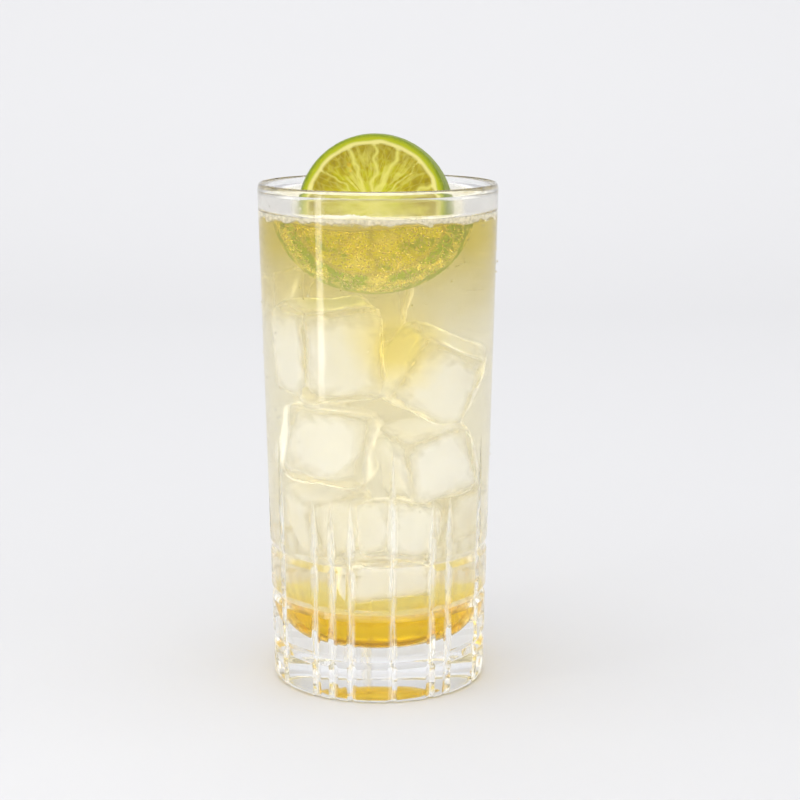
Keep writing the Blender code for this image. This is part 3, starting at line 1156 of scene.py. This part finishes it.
@dataclass
class Scatter:
    """Small balls spread over a carrier's faces by Geometry Nodes, then made plain mesh."""

    name: str
    finish: bpy.types.Material
    crowd: float
    smallest: float
    largest: float
    seed: int
    lift: float = 0.0
    segments: int = 8
    rings: int = 5

    def tree(self) -> bpy.types.NodeTree:
        """The node tree: points by crowd, a ball at each, joined and dressed.

        Returns:
            The tree, with its sizes as named inputs.
        """
        tree = bpy.data.node_groups.new(self.name, "GeometryNodeTree")
        kinds = {"Carrier": "Geometry", "Crowd": "Float", "Smallest": "Float", "Largest": "Float",
                 "Lift": "Float", "Seed": "Int"}
        for title, kind in kinds.items():
            tree.interface.new_socket(title, in_out="INPUT", socket_type="NodeSocket" + kind)
        tree.interface.new_socket("Balls", in_out="OUTPUT", socket_type="NodeSocketGeometry")
        work = Nodes(tree, "GeometryNode")
        given = work.add("NodeGroupInput").outputs
        weight = work.add("InputNamedAttribute", {"data_type": "FLOAT"}, Name="crowd")
        crowd = work.times(weight.outputs["Attribute"], given["Crowd"])
        spread = work.add("DistributePointsOnFaces", Mesh=given["Carrier"], Density=crowd,
                          Seed=given["Seed"])
        size = work.add("FunctionNodeRandomValue", {"data_type": "FLOAT"}, Seed=given["Seed"])
        work.feed(size.inputs[2], given["Smallest"])
        work.feed(size.inputs[3], given["Largest"])
        push = work.add("ShaderNodeVectorMath", {"operation": "SCALE"}, Vector=spread.outputs["Normal"],
                        Scale=work.times(size.outputs[1], given["Lift"]))
        move = work.add("SetPosition", Geometry=spread.outputs["Points"], Offset=push.outputs[0])
        ball = work.add("MeshUVSphere", Radius=1.0, Segments=self.segments, Rings=self.rings)
        smooth = work.add("SetShadeSmooth", Geometry=ball.outputs["Mesh"])
        copies = work.add("InstanceOnPoints", Points=move.outputs["Geometry"],
                          Instance=smooth.outputs["Geometry"], Scale=size.outputs[1])
        whole = work.add("RealizeInstances", Geometry=copies.outputs["Instances"])
        dress = work.add("SetMaterial", Geometry=whole.outputs["Geometry"], Material=self.finish)
        work.add("NodeGroupOutput", Balls=dress.outputs["Geometry"])
        return tree

    def over(self, carrier: bpy.types.Mesh) -> bpy.types.Object:
        """Spreads the balls over a mesh, which is then dropped.

        Args:
            carrier: Faces to spread over, with a crowd value at each point.

        Returns:
            The balls as one piece.
        """
        holder = put_in_scene(carrier, None)
        modifier = holder.modifiers.new(self.name, "NODES")
        modifier.node_group = self.tree()
        values = {"Crowd": self.crowd, "Smallest": self.smallest, "Largest": self.largest,
                  "Lift": self.lift, "Seed": self.seed}
        for socket in modifier.node_group.interface.items_tree:
            if socket.name in values:
                modifier[socket.identifier] = values[socket.name]
        ready = holder.evaluated_get(bpy.context.evaluated_depsgraph_get())
        mesh = bpy.data.meshes.new_from_object(ready)
        mesh.name = self.name
        holder.modifiers.clear()
        bpy.data.objects.remove(holder)
        return report(put_in_scene(mesh, self.finish))


def tube_of(name: str, rings: list[np.ndarray]) -> bpy.types.Mesh:
    """A closed tube through rings of equal counts, whose last ring meets its first.

    Args:
        name: The mesh's name.
        rings: Points of each ring, one row for each point.

    Returns:
        The mesh.
    """
    count, rows = len(rings[0]), len(rings)
    index = np.arange(rows * count).reshape(rows, count)
    a, b = index, np.roll(index, -1, axis=1)
    c, d = np.roll(b, -1, axis=0), np.roll(a, -1, axis=0)
    mesh = bpy.data.meshes.new(name)
    mesh.from_pydata(np.concatenate(rings).tolist(), [], np.stack((d, c, b, a), 2).reshape(-1, 4).tolist())
    mesh.shade_smooth()
    return mesh


def wall_mesh(name: str, radii: list[float],
              heights: np.ndarray) -> tuple[bpy.types.Mesh, np.ndarray, np.ndarray]:
    """A skin round the Z axis to spread balls over.

    Args:
        name: The mesh's name.
        radii: Radius of each ring.
        heights: Height of each ring.

    Returns:
        The mesh, each point's turn from -Y in degrees, and whether the point lies on the wall.
    """
    angles = np.radians(np.linspace(-180, 177, 120))
    mesh = skin_of(name, [level_ring(r, z, angles) for r, z in zip(radii, heights)])
    across, deep, _ = points_of(mesh).T
    return mesh, np.degrees(np.arctan2(across, -deep)), np.hypot(across, deep) > 20 * MM


@dataclass
class Fizz:
    """Bubbles on the sunk half of the lime and on the glass, and the foam and the mist at the level."""

    tumbler: Tumbler
    drink: Drink
    lime: LimeSlice
    foam_reach: float = 3.2 * MM
    foam_swell: float = 1.2 * MM
    foam_turn_deg: float = -14.0
    foam_spread_deg: float = 13.0
    foam_drop: float = 0.3 * MM
    mist_gap: float = 0.7 * MM
    mist_sink: float = 0.03 * MM
    mist_depth: float = 0.12 * MM
    wall_heights: tuple[float, float] = (118 * MM, 142 * MM)
    wall_spread_deg: float = 55.0

    def lime_carrier(self) -> bpy.types.Mesh:
        """The lime's front face and rim below the level, most crowded on the face.

        Returns:
            The faces to spread bubbles over.
        """
        angles = ring_angles(90)
        front = self.lime.front
        edge = float(self.lime.skin_radius(front))
        spots = [(r, front) for r in np.linspace(2 * MM, edge, 12)]
        spots += [(float(self.lime.skin_radius(a)), a) for a in np.linspace(front, 4 * MM, 4)]
        mesh = skin_of("lime_fizz", [self.lime.ring(r, a, angles) for r, a in spots])
        mesh.transform(self.lime.stand())
        sunk = points_of(mesh)[:, 2] < self.drink.level - 1.2 * MM
        carry(mesh, "crowd", sunk * (0.35 + 0.65 * clumps_of(mesh, 210, 0.5, 1.6)))
        return mesh

    def wall_carrier(self) -> bpy.types.Mesh:
        """The inside of the glass in front of the lime, most crowded close to the level.

        Returns:
            The faces to spread bubbles over.
        """
        low, high = self.wall_heights
        heights = np.linspace(low, self.drink.level - 1.0 * MM, 20)
        radii = [self.tumbler.bore(z) - 0.1 * MM for z in heights]
        mesh, turn, on_wall = wall_mesh("wall_fizz", radii, heights)
        upper = smooth_step(low, high, points_of(mesh)[:, 2])
        front = np.exp(-(turn / self.wall_spread_deg) ** 2) * 0.8 + 0.2
        carry(mesh, "crowd", upper * front * clumps_of(mesh, 160, 0.4, 1.8) * on_wall)
        return mesh

    def foam_mesh(self) -> bpy.types.Mesh:
        """The ring of foam that clings to the glass along the level.

        Returns:
            Its mesh.
        """
        angles = ring_angles(240)
        wall = self.tumbler.bore(self.drink.level)
        lumps = np.array([noise.fractal(Vector((math.sin(a) * 6, math.cos(a) * 6, 2.0)), 0.8, 2.0, 4)
                          for a in angles])
        away = (angles - math.radians(self.foam_turn_deg) + math.pi) % (2 * math.pi) - math.pi
        front = np.exp(-away ** 2 / (2 * math.radians(self.foam_spread_deg) ** 2))
        swell = self.foam_swell * (0.55 + 0.5 * np.clip(lumps + 0.4, 0, 1) + 1.3 * front)
        reach = self.foam_reach * (0.5 + 0.6 * np.clip(lumps + 0.5, 0, 1) + 0.4 * front)
        rings = []
        for way in ring_angles(14):
            radius = wall + self.drink.sink * 0.5 - reach * (1 - math.cos(way)) / 2
            height = self.drink.level - self.foam_drop + swell * math.sin(way)
            rings.append(level_ring(radius, height, angles))
        return tube_of("foam_ring", rings)

    def mist_mesh(self) -> bpy.types.Mesh:
        """The film of mist on the bore, from the foam up to the lip.

        Returns:
            Its mesh.
        """
        angles = ring_angles(180)
        low, high = self.drink.level + self.mist_gap, self.tumbler.height - self.tumbler.lip_depth
        heights = np.linspace(low, high, 6)
        outer = [(self.tumbler.bore(z) + self.mist_sink, z) for z in heights]
        inner = [(self.tumbler.bore(z) - self.mist_depth, z) for z in heights[::-1]]
        return tube_of("wet_mist", [level_ring(r, z, angles) for r, z in inner + outer])

    def build(self) -> None:
        """Makes the foam, the mist above it and every bubble."""
        report(put_in_scene(self.mist_mesh(), WET_MIST.make()))
        air = AIR_IN_DRINK.make()
        skin = FOAM_SKIN.make()
        foam = self.foam_mesh()
        crowded = foam.copy()
        carry(crowded, "crowd", np.ones(len(crowded.vertices)))
        report(put_in_scene(foam, FROTH.make()))
        Scatter("foam_bubbles", skin, 90 / CM2, 0.12 * MM, 0.42 * MM, seed=11, lift=0.2).over(
            crowded)
        Scatter("lime_bubbles", air, 220 / CM2, 0.12 * MM, 0.38 * MM, seed=5, lift=0.9).over(
            self.lime_carrier())
        Scatter("wall_bubbles", air, 16 / CM2, 0.12 * MM, 0.36 * MM, seed=8, lift=-0.2).over(
            self.wall_carrier())


@dataclass
class Dew:
    """Small drops on the outside of the glass, most of them towards its sides."""

    tumbler: Tumbler
    heights: tuple[float, float] = (60 * MM, 151 * MM)
    side_deg: tuple[float, float] = (35.0, 75.0)
    front_share: float = 0.12

    def carrier(self) -> bpy.types.Mesh:
        """The outer wall from the cuts to below the rim.

        Returns:
            The faces to spread drops over.
        """
        heights = np.linspace(*self.heights, 30)
        mesh, turn, on_wall = wall_mesh("outer_dew", [self.tumbler.outer(z) for z in heights], heights)
        share = self.front_share + (1 - self.front_share) * smooth_step(*self.side_deg, np.abs(turn))
        carry(mesh, "crowd", share * clumps_of(mesh, 120, 0.0, 2.4) * on_wall)
        return mesh

    def build(self) -> None:
        """Makes the drops."""
        Scatter("dew_drops", DEW_WATER.make(), 5 / CM2, 0.12 * MM, 0.5 * MM, seed=21, lift=0.1).over(
            self.carrier())


@dataclass(frozen=True)
class Softbox:
    """A flat lamp: its place, width and height, how bright its face is and the point that it faces."""

    name: str
    place: Vector3
    size: tuple[float, float]
    radiance: float
    aim: Vector3


@dataclass
class Studio:
    """The pale room, its light and the camera."""

    camera_distance: float = 604.44 * MM
    camera_height: float = 204.17 * MM
    camera_pitch: float = 0.189
    camera_yaw_deg: float = 0.645
    lens: float = 87.93
    sensor: float = 36.0
    back_light: float = 0.95
    front_light: float = 1.84
    light_change: tuple[float, float] = (0.5, -1.0)
    behind_camera: float = 0.8
    card_edge: tuple[float, float] = (-0.94, -0.80)
    low_share: float = 0.25
    horizon: tuple[float, float] = (-0.1, 0.12)
    sweep_width: float = 6.0
    sweep_front: float = -3.0
    sweep_back: float = 1.6
    sweep_curve: float = 0.8
    sweep_top: float = 3.5
    sweep_level: float = -0.05 * MM
    lamps: tuple[Softbox, ...] = (
        Softbox("overhead", (-0.12, 0.1, 1.6), (1.6, 1.4), 1.4, (0.0, 0.0, 0.09)),
        Softbox("side_strip", (-0.248, -0.173, 0.20), (0.034, 0.34), 2.8, (0.0, 0.0, 0.20)),
    )

    def camera(self) -> None:
        """The camera, placed and aimed as the photograph's."""
        data = bpy.data.cameras.new("photo_view")
        data.lens = self.lens
        data.sensor_width = self.sensor
        camera = bpy.data.objects.new("photo_view", data)
        camera.location = (0.0, -self.camera_distance, self.camera_height)
        camera.rotation_euler = (math.pi / 2 - self.camera_pitch, 0.0, -math.radians(self.camera_yaw_deg))
        bpy.context.scene.collection.objects.link(camera)
        bpy.context.scene.camera = camera

    def sweep(self) -> None:
        """The floor, which curves up into the backdrop."""
        foot, curve, level = self.sweep_back - self.sweep_curve, self.sweep_curve, self.sweep_level
        profile = [(self.sweep_front, level), (0.0, level), (foot, level)]
        for turn in range(10, 91, 10):
            way = math.radians(turn)
            profile.append((foot + curve * math.sin(way), level + curve * (1 - math.cos(way))))
        profile.append((self.sweep_back, self.sweep_top))
        points = [(side * self.sweep_width / 2, y, z) for y, z in profile for side in (-1, 1)]
        faces = [(2 * i, 2 * i + 1, 2 * i + 3, 2 * i + 2) for i in range(len(profile) - 1)]
        mesh = bpy.data.meshes.new("paper_sweep")
        mesh.from_pydata(points, [], faces)
        mesh.shade_smooth()
        put_in_scene(mesh, StudioPaper().make())

    def light(self, box: Softbox) -> None:
        """Hangs a lamp and aims it.

        Args:
            box: The lamp.
        """
        data = bpy.data.lights.new(box.name, "AREA")
        data.shape = "RECTANGLE"
        data.size, data.size_y = box.size
        data.energy = box.radiance * math.pi * box.size[0] * box.size[1]
        lamp = bpy.data.objects.new(box.name, data)
        lamp.location = box.place
        lamp.rotation_euler = (Vector(box.aim) - Vector(box.place)).to_track_quat("-Z", "Y").to_euler()
        bpy.context.scene.collection.objects.link(lamp)

    def air(self) -> None:
        """Soft light from all round, brightest from the viewer's side."""
        world = bpy.data.worlds.new("soft_room")
        world.use_nodes = True
        work = Nodes(world.node_tree)
        way = work.add("SeparateXYZ", Vector=work.add("TexCoord").outputs["Generated"]).outputs
        round_light = work.span(way["Y"], *self.light_change, self.back_light, self.front_light)
        low_light = work.span(way["Z"], *self.horizon, self.low_share)
        card = work.span(way["Y"], *self.card_edge, self.behind_camera)
        ground = world.node_tree.nodes["Background"]
        work.feed(ground.inputs["Color"], work.times(work.times(round_light, low_light), card))
        bpy.context.scene.world = world

    def build(self) -> None:
        """Sets the room, the lamps, the camera and the picture's plain tones."""
        self.camera()
        self.sweep()
        self.air()
        for box in self.lamps:
            self.light(box)
        scene = bpy.context.scene
        scene.view_settings.view_transform = "Standard"
        scene.cycles.use_denoising = True
        scene.cycles.blur_glossy = 0.0
        scene.cycles.max_bounces = 40
        scene.cycles.transmission_bounces = 40
        scene.cycles.glossy_bounces = 16
        scene.cycles.diffuse_bounces = 10
        scene.cycles.volume_bounces = 4
        scene.cycles.transparent_max_bounces = 16


def main() -> None:
    """Builds the studio and the drink; each piece logs its triangle count."""
    logging.basicConfig(level=logging.INFO, format="%(name)s: %(message)s")
    Studio().build()
    tumbler = Tumbler()
    tumbler.build()
    drink = Drink(tumbler)
    drink.build()
    Ice().build()
    lime = LimeSlice()
    lime.build()
    Fizz(tumbler, drink, lime).build()
    Dew(tumbler).build()


if __name__ == "__main__":
    main()
